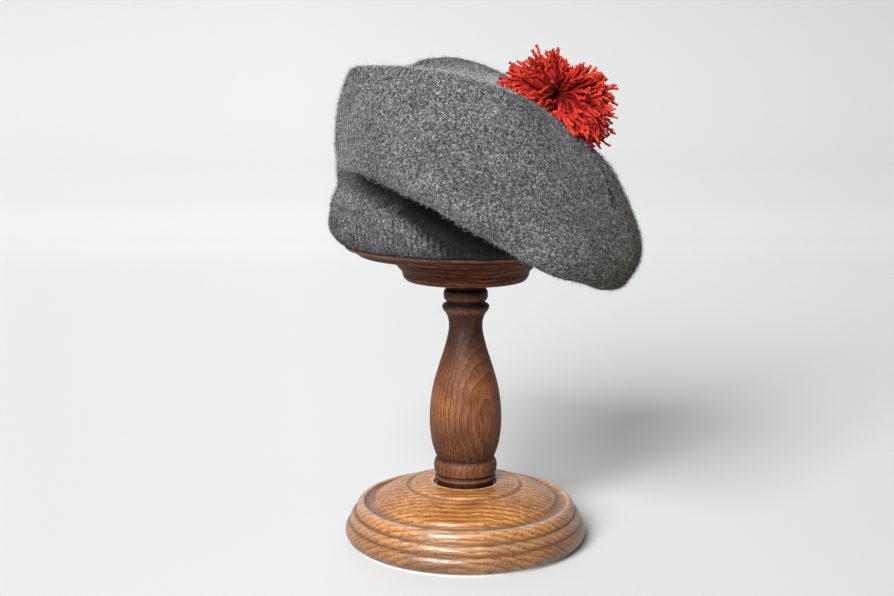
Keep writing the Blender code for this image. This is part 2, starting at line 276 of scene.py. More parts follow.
def turned(name, replaced, profile, finish, segments):
    """A lathe-turned piece, closed on its axis at both ends."""
    line = with_ends(turned_line(profile))
    shape = bmesh.new()
    rings, depths = [], []
    for (radius, z), depth in zip(line, hollows(line)):
        count = segments if radius > 0 else 1
        depths += [depth] * count
        angles = [2 * math.pi * k / count for k in range(count)]
        rings.append([
            shape.verts.new((radius * math.cos(a) / 1000, radius * math.sin(a) / 1000, z / 1000))
            for a in angles
        ])
    for low, high in zip(rings, rings[1:]):
        for k in range(segments):
            corners = [low[k % len(low)], low[(k + 1) % len(low)],
                       high[(k + 1) % len(high)], high[k % len(high)]]
            shape.faces.new(list(dict.fromkeys(corners)))
    bmesh.ops.recalc_face_normals(shape, faces=shape.faces)
    made = kept(name, into_mesh(shape, name, hollow=depths), finish, SHARP_FROM)
    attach(made, "root")
    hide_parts(replaced)
    return made


STAND_HEIGHT = 210.0
RING_SCALE = 0.314  # at this scale a wave texture has a ring every millimetre
LACQUER_ROUGHNESS = 0.16
Oak = namedtuple("Oak", "pores dark middle pale worn dust contrast roughness coat specular")


def vectors(tree, operation, first, second):
    """One sum on two vectors, or on a vector and the number that it is scaled by."""
    key = "Scale" if operation == "SCALE" else 1
    return node(tree, "ShaderNodeVectorMath", {0: first, key: second}, operation=operation).outputs[0]


def oak(name, look, turn, heart, ring_spacing, stain_and_shade):
    """Lacquered oak: yearly rings, open pores drawn out along the grain, and pale rays across it.

    Dust and painted shade darken the turned grooves, and wear and a painted highlight leave the arrises
    paler. turn brings the grain to X, and heart is where the heart of the tree lay from the piece, in
    millimetres. stain_and_shade gives heights, in millimetres, and how much of the colour is left there: a
    darker stain, and painted shade and shadow where they fall on the piece.
    """
    made, tree, shader = finish_named(
        name, Roughness=look.roughness, IOR=1.5, Specular_IOR_Level=look.specular,
        Coat_Weight=look.coat, Coat_Roughness=LACQUER_ROUGHNESS, Coat_IOR=1.5,
    )
    place = millimetres(tree, turn=turn, move=heart)
    wander = node(tree, "ShaderNodeTexNoise", {"Vector": place, "Scale": 0.022, "Detail": 2.5})
    wander = vectors(tree, "SUBTRACT", wander.outputs["Color"], (0.5, 0.5, 0.5))
    bent = vectors(tree, "ADD", place, vectors(tree, "SCALE", wander, 8.0))
    rings = node(
        tree, "ShaderNodeTexWave",
        {"Vector": bent, "Scale": RING_SCALE / ring_spacing, "Distortion": 3.2, "Detail": 2.0,
         "Detail Scale": 0.6},
        wave_type="RINGS", rings_direction="X", wave_profile="SAW",
    ).outputs["Fac"]

    def drawn_out(stretch, detail):
        """Cells of so many millimetres along the grain and across it."""
        cells = node(tree, "ShaderNodeMapping", {"Vector": bent, "Scale": [1 / size for size in stretch]})
        return grain_noise(tree, cells.outputs[0], 1.0, detail)

    streaks = drawn_out((26.0, 1.1, 1.1), 2.0)
    fine = drawn_out((13.0, 0.42, 0.42), 1.0)
    open_pores = drawn_out((9.0, 0.42, 0.42), 0.0)
    rays = drawn_out((1.25, 4.0, 1 / 1.3), 1.0)
    tone = plus(tree, times(tree, rings, 0.20), times(tree, streaks, 0.55), times(tree, fine, 0.32))
    spread = 0.15 / look.contrast
    tones = [(0.53 - spread, look.dark), (0.53, look.middle), (0.53 + spread, look.pale)]
    cloud = grain_noise(tree, place, 0.04)
    cloud = ramp(tree, cloud, [(0.32, (0.72, 0.64, 0.58)), (0.68, (1.14, 1.12, 1.10))])
    colour = multiplied(tree, ramp(tree, tone, tones), cloud)
    rays = ramp(tree, rays, [(0.60, 0.0), (0.70, 1.0)])
    colour = blend(tree, times(tree, rays, 0.25), colour, look.pale)
    cut = ramp(tree, open_pores, [(0.54, 0.0), (0.62, 1.0)])
    early = ramp(tree, rings, [(0.05, 0.9), (0.60, 0.45), (0.95, 0.8)])
    cut = multiplied(tree, cut, early)
    colour = blend(tree, times(tree, cut, 0.62 * look.contrast), colour, look.pores)

    # Dust and painted shade darken the grooves, and wear and a painted highlight make the arrises paler.
    hollow = node(tree, "ShaderNodeAttribute", attribute_name="hollow").outputs["Fac"]
    groove_dust_and_shade = times(tree, ramp(tree, hollow, [(0.03, 0.0), (0.36, 1.0)]), 0.72)
    colour = blend(tree, groove_dust_and_shade, colour, look.dust)
    arris = ramp(tree, times(tree, hollow, -1.0), [(0.15, 0.0), (0.60, 1.0)])
    patchy_wear_and_highlight = ramp(tree, grain_noise(tree, place, 0.16), [(0.4, 0.5), (0.6, 1.0)])
    arris = multiplied(tree, arris, patchy_wear_and_highlight)
    colour = blend(tree, times(tree, arris, 0.60), colour, look.worn)
    height = parts(tree, millimetres(tree))[2]
    stained_and_shaded = [(z / STAND_HEIGHT, left) for z, left in stain_and_shade]
    stained_and_shaded = ramp(tree, maths(tree, "DIVIDE", height, STAND_HEIGHT), stained_and_shaded)
    tree.links.new(multiplied(tree, colour, stained_and_shaded), shader.inputs["Base Color"])
    bumped(tree, shader, maths(tree, "SUBTRACT", times(tree, fine, 0.3), cut), 0.10, 0.5)
    shine = plus(tree, times(tree, cut, 0.25), look.roughness)
    tree.links.new(shine, shader.inputs["Roughness"])
    return made


BASE_PROFILE = [
    Turn(0.0, 25.7, 1),
    Turn(8.3, 25.7, 1),
    Turn(8.3, 39.2, 1),
    Turn(21.6, 39.2, 1),
    Turn(22.0, 41.4, 1),
    Turn(23.4, 42.0, 0),
    Turn(24.8, 41.5, 1),
    Turn(31.5, 41.2, 0),
    Turn(37.4, 40.4, 1),
    Turn(39.4, 38.4, 0),
    Turn(41.8, 39.2, 1),
    Turn(48.0, 37.4, 0),
    Turn(55.8, 34.2, 0),
    Turn(62.8, 30.4, 1),
    Turn(64.4, 28.0, 0),
    Turn(66.8, 26.6, 0),
    Turn(69.8, 26.8, 1),
    Turn(71.2, 28.4, 0),
    Turn(73.4, 28.3, 0),
    Turn(75.5, 26.2, 0),
    Turn(76.6, 22.8, 0),
    Turn(76.9, 20.4, 1),
    Turn(78.6, 20.4, 0),
    Turn(80.2, 18.6, 0),
    Turn(80.9, 16.4, 0),
    Turn(80.8, 14.0, 1),
    Turn(82.6, 13.2, 0),
    Turn(84.0, 10.6, 0),
    Turn(84.3, 7.4, 0),
    Turn(83.0, 3.9, 0),
    Turn(80.2, 1.5, 1),
    Turn(0.0, 1.5, 1),
]
golden_oak = oak(
    "oak_light",
    Oak(pores=(0.050, 0.017, 0.007), dark=(0.19, 0.064, 0.017), middle=(0.40, 0.160, 0.042),
        pale=(0.62, 0.30, 0.090), worn=(0.58, 0.46, 0.36), dust=(0.125, 0.070, 0.046),
        contrast=1.2, roughness=0.36, coat=0.24, specular=0.5),
    # The last list is painted shade: the base is darker towards the bottom.
    (0, 0, 4), (0, 240, 170), 3.8, [(1, 0.36), (9, 0.50), (19, 0.72), (26, 0.88), (42, 1.02)],
)
turned_base = turned("turned_base", "stand_base", BASE_PROFILE, golden_oak, 160)

# ==================================================================== turned column
# The upright of the stand, spindle-turned from darker oak with its grain upright: a collar at the foot, a
# vase-shaped body, and two beads under the plate. A round tenon at each end is glued in its neighbour.

COLUMN_PROFILE = [
    Turn(0.0, 198.2, 1),
    Turn(8.0, 198.2, 1),
    Turn(8.0, 184.2, 1),
    Turn(14.0, 184.2, 1),
    Turn(13.3, 181.0, 0),
    Turn(13.4, 178.6, 1),
    Turn(14.9, 176.8, 0),
    Turn(15.3, 174.0, 0),
    Turn(14.9, 171.4, 0),
    Turn(12.9, 168.9, 1),
    Turn(15.6, 167.4, 1),
    Turn(16.3, 166.0, 0),
    Turn(15.7, 163.6, 1),
    Turn(13.2, 160.2, 0),
    Turn(11.9, 156.0, 0),
    Turn(11.7, 150.0, 0),
    Turn(14.2, 138.4, 0),
    Turn(18.6, 124.4, 0),
    Turn(22.6, 110.0, 0),
    Turn(24.7, 95.0, 0),
    Turn(24.8, 81.0, 0),
    Turn(22.9, 68.0, 0),
    Turn(19.9, 59.2, 1),
    Turn(21.2, 57.4, 0),
    Turn(21.9, 55.0, 0),
    Turn(21.8, 51.2, 0),
    Turn(21.2, 48.8, 1),
    Turn(19.6, 47.9, 1),
    Turn(19.6, 46.9, 1),
    Turn(21.0, 46.4, 1),
    Turn(21.2, 45.5, 0),
    Turn(20.6, 44.2, 1),
    Turn(19.9, 43.4, 1),
    Turn(19.8, 39.6, 1),
    Turn(8.0, 39.6, 1),
    Turn(8.0, 26.3, 1),
    Turn(0.0, 26.3, 1),
]
red_brown_oak = oak(
    "oak_dark",
    Oak(pores=(0.018, 0.006, 0.003), dark=(0.085, 0.023, 0.009), middle=(0.175, 0.062, 0.024),
        pale=(0.32, 0.130, 0.052), worn=(0.30, 0.17, 0.10), dust=(0.018, 0.006, 0.003),
        contrast=0.65, roughness=0.55, coat=0.0, specular=0.20),
    (0, 90, 0), (-120, -19.9, -26.2), 2.9,
    # This list is painted shadow and shade: the plate's and the hat's shadow over the neck, and shade in
    # the hollows between the beads, at the collar's waist and at the foot.
    [(39.5, 0.12), (43.4, 0.15), (44.2, 0.50), (47.2, 0.50), (48, 0.58), (58, 0.58), (61, 0.34), (72, 0.50),
     (84, 0.66), (98, 0.88), (112, 0.78), (130, 0.46), (142, 0.24), (156, 0.19), (161.2, 0.26),
     (162.0, 0.50), (164.6, 0.50), (165.4, 0.12), (168.6, 0.08), (170.2, 0.34), (173, 0.32), (176, 0.15),
     (182, 0.10)],
)
turned_column = turned("turned_column", "stand_column", COLUMN_PROFILE, red_brown_oak, 96)

# ==================================================================== turned plate
# The round plate that the hat rests on, the darkest of the three, turned from a board with a bead round
# its edge, an ogee and a flange below. It is glued on the column's upper tenon.

PLATE_PROFILE = [
    Turn(0.0, 209.5, 1),
    Turn(81.2, 209.5, 1),
    Turn(82.5, 208.9, 0),
    Turn(82.6, 207.9, 0),
    Turn(81.6, 206.9, 1),
    Turn(78.4, 206.3, 0),
    Turn(76.0, 205.0, 0),
    Turn(74.8, 203.6, 1),
    Turn(73.0, 202.3, 1),
    Turn(50.6, 201.2, 1),
    Turn(49.8, 198.6, 0),
    Turn(48.0, 195.4, 0),
    Turn(45.6, 192.6, 0),
    Turn(43.8, 190.6, 1),
    Turn(43.4, 188.6, 0),
    Turn(42.6, 186.4, 0),
    Turn(40.8, 184.5, 1),
    Turn(8.3, 184.5, 1),
    Turn(8.3, 198.8, 1),
    Turn(0.0, 198.8, 1),
]
dark_oak = oak(
    "oak_plate",
    Oak(pores=(0.008, 0.003, 0.002), dark=(0.034, 0.009, 0.004), middle=(0.075, 0.021, 0.008),
        pale=(0.20, 0.066, 0.022), worn=(0.20, 0.11, 0.07), dust=(0.008, 0.003, 0.002),
        contrast=1.1, roughness=0.48, coat=0.02, specular=0.08),
    (0, 0, -7), (0, 30, -60), 3.2, [(184, 0.80), (200, 0.80)],
)
turned_plate = turned("turned_plate", "stand_plate", PLATE_PROFILE, dark_oak, 144)

# ==================================================================== knitted band
# The band that holds the head: a closed ring of one-and-one rib, knitted in grey wool and then fulled so
# that the ribs are soft. Its hem curls in where it stands on the plate, and its top runs into the crown.

HEM_Z = 209.8
BAND_TOP_Z = 236.0
RIB_COUNT = 144
RIB_DEPTH = 0.95
RIB_WANDER = 1.3  # in radians of one rib, how far the ribs leave their even places
RIB_SHADE = 0.30  # painted shade: the wool is darkened between the ribs
STEPS_A_RIB = 7
ROUND_LUMPS = 0.45  # how far the band is from round

BandPoint = namedtuple("BandPoint", "radius z depth")  # depth: the share of a rib's depth cut there
BAND_SECTION = [
    BandPoint(87.4, HEM_Z + 3.2, 0.0),
    BandPoint(83.0, HEM_Z + 0.9, 0.2),
    BandPoint(85.4, HEM_Z + 0.1, 0.6),
    BandPoint(88.9, HEM_Z + 1.7, 1.0),
    BandPoint(91.3, HEM_Z + 4.8, 1.0),
    BandPoint(92.9, HEM_Z + 10.6, 1.0),
    BandPoint(92.4, HEM_Z + 17.4, 0.6),
    BandPoint(91.2, BAND_TOP_Z - 2.0, 0.0),
    BandPoint(90.5, BAND_TOP_Z + 1.8, 0.0),
    BandPoint(88.6, BAND_TOP_Z + 2.0, 0.0),
    BandPoint(87.2, BAND_TOP_Z - 2.0, 0.0),
    BandPoint(88.4, HEM_Z + 12.0, 0.0),
    BandPoint(87.4, HEM_Z + 3.2, 0.0),
]
BAND_STRIPS = (2, 2, 2, 2, 3, 4, 4, 2, 1, 2, 2, 2)

WOOL_DARK = (0.014, 0.0145, 0.015)
WOOL_GREY = (0.057, 0.0585, 0.0582)
WOOL_PALE = (0.265, 0.27, 0.266)
# Painted shade: the near-black that the felt takes deep in the fold, also the darkest hairs.
FOLD_BLACK = (0.0035, 0.0036, 0.004)
FOLD_DARKENING = 0.92  # painted shade: the felt is darkened deep in the fold, where the lip's shadow falls
WORN_AND_LIT_PALER = 0.30  # and is painted paler on the crest and the top, for light with some wear
HUNG_SHADE_BROWN = (0.64, 0.59, 0.50)


def hung_side_shade(tree):
    """Painted shade: the wool of the hanging side is made a little darker and browner, most at its lower
    edge, where it turns away from the light.
    """
    x, _, z = parts(tree, millimetres(tree))
    hung = maths(tree, "SUBTRACT", x, times(tree, z, 1.2))
    hung = node(tree, "ShaderNodeMapRange", {"Value": hung, "From Min": -215.0, "From Max": -145.0})
    return ramp(tree, hung.outputs[0], [(0.0, 1.0), (1.0, HUNG_SHADE_BROWN)])


def fulled_wool(name, knit_relief, columns, rows):
    """Heathered grey wool: dark and pale hairs matted together, over stitches that hardly show.

    The stitches follow the piece's own UV map: so many columns round, and rows from edge to edge. The
    shelter stored in the mesh is 1 deep in the fold, where painted shade darkens the felt, and below 0
    on the crest and the crown's top, where the felt is painted paler for light and wear.
    """
    made, tree, shader = finish_named(
        name, Roughness=0.96, Sheen_Weight=0.10, Sheen_Roughness=0.40, Specular_IOR_Level=0.15
    )
    place = millimetres(tree)
    mats = node(tree, "ShaderNodeTexNoise", {"Vector": place, "Scale": 0.30, "Detail": 1.0})
    mats = mats.outputs["Color"]
    stirred = vectors(tree, "ADD", place, vectors(tree, "SCALE", mats, 7.0))
    hairs = grain_noise(tree, stirred, 1.15, 2.0, 0.65)
    clumps = grain_noise(tree, place, 0.50, 2.0, 0.6)
    heather = plus(tree, times(tree, hairs, 0.72), times(tree, clumps, 0.28))
    colour = ramp(tree, heather, [(0.42, WOOL_DARK), (0.50, WOOL_GREY), (0.61, WOOL_PALE)])
    patches = ramp(tree, grain_noise(tree, place, 0.045), [(0.3, 0.86), (0.7, 1.10)])
    colour = multiplied(tree, colour, patches)
    painted_shade_here = node(tree, "ShaderNodeAttribute", attribute_name="shelter").outputs["Fac"]
    # Painted shade darkens the felt in the fold, and painted light makes it paler on the crest and the top.
    colour = blend(tree, times(tree, painted_shade_here, FOLD_DARKENING), colour, FOLD_BLACK)
    colour = blend(tree, times(tree, painted_shade_here, -WORN_AND_LIT_PALER), colour, WOOL_PALE)
    tree.links.new(multiplied(tree, colour, hung_side_shade(tree)), shader.inputs["Base Color"])

    knit = node(tree, "ShaderNodeUVMap", uv_map="knit").outputs[0]
    knit = vectors(tree, "ADD", knit, vectors(tree, "SCALE", mats, 0.004))
    across, up, _ = parts(tree, knit)
    column = maths(tree, "PINGPONG", times(tree, across, columns), 0.5)
    leg = maths(tree, "FRACT", plus(tree, times(tree, up, rows), column))
    stitch = plus(tree, times(tree, column, 1.2), maths(tree, "PINGPONG", leg, 0.5))
    relief = plus(tree, times(tree, stitch, knit_relief), times(tree, heather, 1.5))
    bumped(tree, shader, relief, 0.5, 0.7)
    return made


def shell(rows_of_points, closed_up=False, top=None):
    """A bmesh of rings of points in millimetres, with a UV map that runs round and up it."""
    shape = bmesh.new()
    knit = shape.loops.layers.uv.new("knit")
    rings = [[shape.verts.new([c / 1000 for c in spot]) for spot in row] for row in rows_of_points]
    count, layers = len(rings[0]), len(rings)

    def side(verts, corners):
        """One face, with the place of each of its corners round and up the piece."""
        for loop, (u, v) in zip(shape.faces.new(verts).loops, corners):
            loop[knit].uv = (u / count, v / layers)

    for j in range(layers if closed_up else layers - 1):
        low, high = rings[j], rings[(j + 1) % layers]
        for k in range(count):
            right = (k + 1) % count
            side((low[k], low[right], high[right], high[k]),
                 ((k, j), (k + 1, j), (k + 1, j + 1), (k, j + 1)))
    if top is not None:
        tip = shape.verts.new([c / 1000 for c in top])
        for k in range(count):
            side((rings[-1][k], rings[-1][(k + 1) % count], tip),
                 ((k, layers - 1), (k + 1, layers - 1), (k + 0.5, layers)))
    return shape


HEM_LIFT = 4.2  # the hem's greatest rise off the plate, where the hat's weight pulls it up at the left
HEM_LIFT_AZIMUTH = 192.0
HEM_LIFT_SPREAD = 5.0  # the higher, the narrower the stretch that rises
HEM_ROLL = (82.0, 90.0)  # nothing rises within the first radius, and all from the second on
PRESS_DEPTH = 20.0  # how far the fold of the crown presses the band's front in
PRESS_AZIMUTH = 262.0
PRESS_REACH = 54.0  # to each side of that azimuth, in degrees
PRESS_FOOT_Z = 216.5  # where it starts, over the line along which the fold comes down
PRESS_FOOT_FALL = 0.9  # fall of that line for each degree to the right
PRESS_LOWEST_Z = 211.0
PRESS_RISE = 12.0  # height over which the band goes in


def clamped(share):
    """A share kept between none and all."""
    return min(1.0, max(0.0, share))


def hem_lift(azimuth, radius, z):
    """How far the band's lower edge has risen there; nothing of it is left at the band's top."""
    facing_it = 0.5 + 0.5 * math.cos(math.radians(azimuth - HEM_LIFT_AZIMUTH))
    outside = clamped((radius - HEM_ROLL[0]) / (HEM_ROLL[1] - HEM_ROLL[0]))
    left = (BAND_TOP_Z + 2 - z) / (BAND_TOP_Z + 2 - HEM_Z)
    return HEM_LIFT * facing_it**HEM_LIFT_SPREAD * outside * left


def pressed(azimuth, z):
    """How far the fold has pressed the band in, or the crown where it is joined to the band."""
    beside = azimuth - PRESS_AZIMUTH
    share = 0.5 + 0.5 * math.cos(math.pi * clamped(abs(beside) / PRESS_REACH))
    foot = max(PRESS_LOWEST_Z, PRESS_FOOT_Z - PRESS_FOOT_FALL * beside)
    rise = clamped((z - foot) / PRESS_RISE)
    return PRESS_DEPTH * share * rise * rise * (3 - 2 * rise)


section = smooth_path([(p.radius, p.z, p.depth) for p in BAND_SECTION], BAND_STRIPS)[:-1]
around_band = RIB_COUNT * STEPS_A_RIB
rows, rib_shades = [], []
for radius, z, depth in section:
    row = []
    for k in range(around_band):
        azimuth = 360.0 * k / around_band
        turn = math.radians(azimuth)
        drift = noise.noise(Vector((9 * math.cos(turn), 9 * math.sin(turn), z / 14)))
        lump = noise.noise(Vector((3 * math.cos(turn), 3 * math.sin(turn), z / 30 + 7)))
        rib = max(depth, 0) * (0.5 + 0.5 * math.cos(RIB_COUNT * turn + RIB_WANDER * drift))
        reach = radius - RIB_DEPTH * rib + ROUND_LUMPS * lump * clamped((z - HEM_Z) / 8)
        reach -= pressed(azimuth, z)
        rib_shades.append(RIB_SHADE * rib)
        row.append(
            (reach * math.cos(turn), reach * math.sin(turn), z + hem_lift(azimuth, radius, z))
        )
    rows.append(row)
shape = shell(rows, closed_up=True)
bmesh.ops.recalc_face_normals(shape, faces=shape.faces)
band_wool = fulled_wool("grey_wool_band", 0.5, RIB_COUNT, 34)
ribbed_band = kept("ribbed_band", into_mesh(shape, "ribbed_band", shelter=rib_shades), band_wool)
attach(ribbed_band, "root")
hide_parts("hat_band")

# ==================================================================== fulled crown
# The crown of the tam: a wide disc of the same wool, knitted in the round and fulled to a thick soft felt.
# It is pulled down over one side, so that it folds over the band in front and stands up at the left.

SEAM_Z = 232.0  # where it is joined to the band
SEAM_RADIUS = 90.2
SEAM_NECK, SEAM_FLARE = 6.0, 0.8  # it stands up so far, a little flared, before it turns outwards
CROWN_WALL = 3.2
CROWN_CENTRE = (54.5, -25.0, 301.0)
CENTRE_SLOPE = (-0.60, 0.02)  # of the felt under the pompom, along X and along Y
CENTRE_RING = 16.0  # the radius of that patch, and its greatest share of the way to the ridge
CENTRE_SHARE = 0.24
CENTRE_ROUNDING = 80.0

# A row for each upright section round the hat, azimuth 0 at the right (+X) and 270 in front (-Y). Each
# pair is a distance from the axis and a height: the tuck behind the rim, its lip, the rim, the brow and
# the ridge, and the height of the dish between the ridge and the crown's middle.
Section = namedtuple(
    "Section", "azimuth tuck_r tuck_z lip_r lip_z rim_r rim_z brow_r brow_z ridge_r ridge_z dish_z"
)
CROWN_SECTIONS = [
    Section(0, 98, 236, 99, 189, 117, 208, 108, 240, 95, 263, 287),
    Section(30, 97, 238, 109, 196, 122, 217, 111, 252, 90, 283, 295),
    Section(60, 97, 242, 111, 218, 122, 238, 107, 279, 77, 318, 307),
    Section(90, 96, 246, 107, 241, 118, 257, 99, 298, 60, 332.2, 313),
    Section(118, 93.5, 250, 98, 255, 106, 272, 93, 308, 60, 333.0, 316),
    Section(129, 92.2, 250.6, 95.2, 257.7, 101.5, 276.3, 91, 308, 62.5, 328.4, 316.5),
    Section(138, 91, 251, 93, 260, 97.5, 280, 89, 309, 66, 327.8, 317),
    Section(158, 89, 251, 89.2, 262, 90, 284, 86.2, 308, 72, 327.4, 318),
    Section(180, 86.8, 250, 86.6, 264, 87.2, 283, 84.8, 306.5, 75, 326.2, 318),
    Section(205, 85.6, 254, 88.6, 264, 90, 279, 86.5, 303, 78, 328.3, 318),
    Section(222, 84.0, 258, 93, 262, 97.5, 273, 89.5, 300, 77, 329.2, 317),
    Section(240, 73, 262, 102, 256.5, 108.5, 268.5, 94, 293, 77, 328.8, 316),
    Section(258, 69, 260, 115, 245, 122.5, 258, 100, 284, 77, 325.8, 314),
    Section(275, 71, 256, 124, 226.5, 132, 239.5, 105.5, 273, 77, 320.6, 311),
    Section(292, 80, 250, 129, 205.3, 136.5, 220, 110.5, 260, 78, 312.4, 305),
    Section(304, 92, 243, 127, 197.2, 135.5, 212, 113, 251, 80, 304, 301),
    Section(312, 99, 240, 124, 191.6, 133, 207, 114, 245, 83, 296.6, 299),
    Section(335, 99, 236, 110.5, 187, 122.5, 204.5, 111, 241, 90, 274, 292),
]
# How far the felt runs in from the lip before it turns up to the tuck, and the greatest share of the way.
FOLD_BACK, FOLD_SHARE = 8.0, 0.35
CREST_ROLL = (8.0, 4.0)  # how far in from the ridge, and how far down, the dish begins
CREASE = [
    (79, -38, 277), (82, -45, 273), (86, -47, 267), (89, -50, 260), (91, -55.5, 252), (93, -62, 243)
]
CREASE_RUNS = [(Vector(a), Vector(b) - Vector(a)) for a, b in zip(CREASE, CREASE[1:])]
CREASE_DEPTH = 2.6
CREASE_HALF = 3.0  # half its width
CREASE_SWELL = 0.35  # the share of its depth by which the felt swells beside it
SWELL_AWAY = 2.4  # how far away, in halves of its width
CREASE_SHADE = 0.8
SHADE_OVERHANG = 9.0  # the lip keeps all light off what it overhangs so far, straight below it
SHADE_BEYOND = 1.5  # and some off what stands out past it, up to here
SHADE_REACH = 18.0  # how far down its shade reaches, and how much further for each millimetre of overhang
SHADE_SLOPE = 0.55
SHADE_EDGE = 9.0  # over how much height it fades
CREST_LIGHT_AND_WEAR, DISH_LIGHT_AND_WEAR = 1.7, 1.0  # how far the crest in front and the crown's top are painted paler: painted light, with some wear
PALER_FROM, PALER_FADE = 2, 6  # how many rows in from the ridge that starts, and over how many it grows
CREST_AZIMUTH, CREST_REACH = -115.0, 48.0  # the middle of that crest, and its reach to each side
CROWN_STRIPS = (2, 4, 3, 4, 6, 8, 10, 3, 8, 6, 4)
CROWN_SEGMENTS = 216
FELT_LUMPS = ((17.0, 0.55), (42.0, 1.3))  # how far apart they are, and how high
LUMPS_FROM, LUMPS_FADE = 4.0, 8.0  # how high over the seam they start, and over how much they grow


def around(azimuths, values, azimuth):
    """A smooth closed curve through values at the given azimuths, in degrees, read at azimuth."""
    count = len(azimuths)
    knots = [azimuths[i % count] + 360.0 * (i // count) for i in range(-1, count + 2)]
    heights = [values[i % count] for i in range(-1, count + 2)]
    at = azimuth % 360.0
    i = max(i for i in range(1, count + 1) if knots[i] <= at)
    width = knots[i + 1] - knots[i]
    leaving, arriving = (
        width * (heights[j + 1] - heights[j - 1]) / (knots[j + 1] - knots[j - 1]) for j in (i, i + 1)
    )
    return hermite(heights[i], leaving, heights[i + 1], arriving, (at - knots[i]) / width)


def crown_line(azimuth):
    """The crown's outer surface along one upright section, from the band to the crown's middle."""
    azimuths = [row.azimuth for row in CROWN_SECTIONS]
    at = {
        name: around(azimuths, [getattr(row, name) for row in CROWN_SECTIONS], azimuth)
        for name in Section._fields[1:]
    }
    turn = math.radians(azimuth)

    def spot(radius, z):
        """A point in this section."""
        return np.array([radius * math.cos(turn), radius * math.sin(turn), z])

    centre = np.array(CROWN_CENTRE)
    neck_z = SEAM_Z + SEAM_NECK
    seam = spot(SEAM_RADIUS - pressed(azimuth, SEAM_Z), SEAM_Z)
    neck = spot(SEAM_RADIUS + SEAM_FLARE - pressed(azimuth, neck_z), neck_z)
    tuck, lip, rim, brow, ridge = (
        spot(at[f"{part}_r"], at[f"{part}_z"]) for part in ("tuck", "lip", "rim", "brow", "ridge")
    )
    under = tuck - lip
    fold = lip + under * min(FOLD_BACK / np.linalg.norm(under), FOLD_SHARE)
    dish = 0.5 * (ridge + centre)
    dish[2] = at["dish_z"]
    away = ridge - centre
    away[2] = 0.0
    reach = min(CENTRE_RING, CENTRE_SHARE * np.linalg.norm(away))
    away *= reach / np.linalg.norm(away)
    patch = centre + away
    patch[2] += away[0] * CENTRE_SLOPE[0] + away[1] * CENTRE_SLOPE[1]
    patch[2] -= reach**2 / (2 * CENTRE_ROUNDING)
    crest = ridge - away / reach * CREST_ROLL[0]
    crest[2] -= CREST_ROLL[1]
    return smooth_path(
        [seam, neck, tuck, fold, lip, rim, brow, ridge, crest, dish, patch, centre], CROWN_STRIPS
    )


lines = [crown_line(360.0 * k / CROWN_SEGMENTS) for k in range(CROWN_SEGMENTS)]
fold_row, lip_row, ridge_row = (sum(CROWN_STRIPS[:i]) for i in (3, 4, 7))


def crease_depth(spot):
    """How deep a short crease at the crown's right has sunk in there, in millimetres."""
    away = min(
        (spot - start - clamped((spot - start).dot(run) / run.dot(run)) * run).length
        for start, run in CREASE_RUNS
    )
    if away > 4 * CREASE_HALF:
        return 0.0
    swell = math.exp(-((away - SWELL_AWAY * CREASE_HALF) / CREASE_HALF) ** 2)
    return CREASE_DEPTH * (math.exp(-((away / CREASE_HALF) ** 2)) - CREASE_SWELL * swell)


def under_lip(line, radius, z):
    """How far the crown's overhanging lip keeps light from a point below or behind it: its painted shade
    there.
    """
    overhang = max(0.0, np.linalg.norm(line[lip_row][:2]) - radius + SHADE_BEYOND)
    drop = line[lip_row][2] - z
    reach = SHADE_REACH + SHADE_SLOPE * overhang
    return clamped(overhang / SHADE_OVERHANG) * clamped((reach - drop) / SHADE_EDGE)


layers = len(lines[0]) - 1
# Painted shade stored in the felt: under the lip and in the crease it darkens the wool, and on the crest in
# front and the crown's top it is below 0, which paints them paler for light, with some wear.
shelter = []
for j in range(layers):
    under = clamped((lip_row - j) / (lip_row - fold_row))
    for line in lines:
        x, y, z = line[j]
        worn = DISH_LIGHT_AND_WEAR * clamped((j - ridge_row - PALER_FROM) / PALER_FADE)
        if j == ridge_row and abs(math.degrees(math.atan2(y, x)) - CREST_AZIMUTH) < CREST_REACH:
            worn = CREST_LIGHT_AND_WEAR
        creased = CREASE_SHADE * max(0.0, crease_depth(Vector(line[j]))) / CREASE_DEPTH
        shelter.append(under * under_lip(line, math.hypot(x, y), z) - worn + creased)
shelter.append(-DISH_LIGHT_AND_WEAR)
# The band takes painted shade under the crown's lip as well.
band_painted_shade = ribbed_band.data.attributes["shelter"].data
for vert, store in zip(ribbed_band.data.vertices, band_painted_shade):
    spot = 1000 * vert.co
    azimuth = math.degrees(math.atan2(spot.y, spot.x))
    line = lines[round(azimuth * CROWN_SEGMENTS / 360) % CROWN_SEGMENTS]
    store.value = min(1.0, store.value + under_lip(line, math.hypot(spot.x, spot.y), spot.z))
shape = shell([[line[j] for line in lines] for j in range(layers)], top=CROWN_CENTRE)
shape.normal_update()
moves = []
for vert in shape.verts:
    height = sum(
        size * noise.noise(Vector(vert.co) * 1000 / spacing + Vector((3, 1, 4)))
        for spacing, size in FELT_LUMPS
    )
    height *= clamped((vert.co.z * 1000 - SEAM_Z - LUMPS_FROM) / LUMPS_FADE)
    moves.append(vert.normal * (height - crease_depth(vert.co * 1000)) / 1000)
for vert, move in zip(shape.verts, moves):
    vert.co += move
felt_skin = into_mesh(shape, "felt_skin", shelter=shelter)
crown_felt = fulled_wool("grey_wool", 0.35, 190, 84)
felt_crown = kept("felt_crown", felt_skin.copy(), crown_felt)
wall = felt_crown.modifiers.new("felt wall", "SOLIDIFY")
wall.thickness = CROWN_WALL / 1000
wall.offset = -1.0
wall.use_even_offset = False
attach(felt_crown, "root")
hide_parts("hat_crown")

# ==================================================================== hairs of the felt
# Loose wool hairs, dark and pale, that fulling leaves matted over the crown and band. Most lie along the
# felt and give it its heathered grey, and some stand off it, so that the hat's edge is soft.


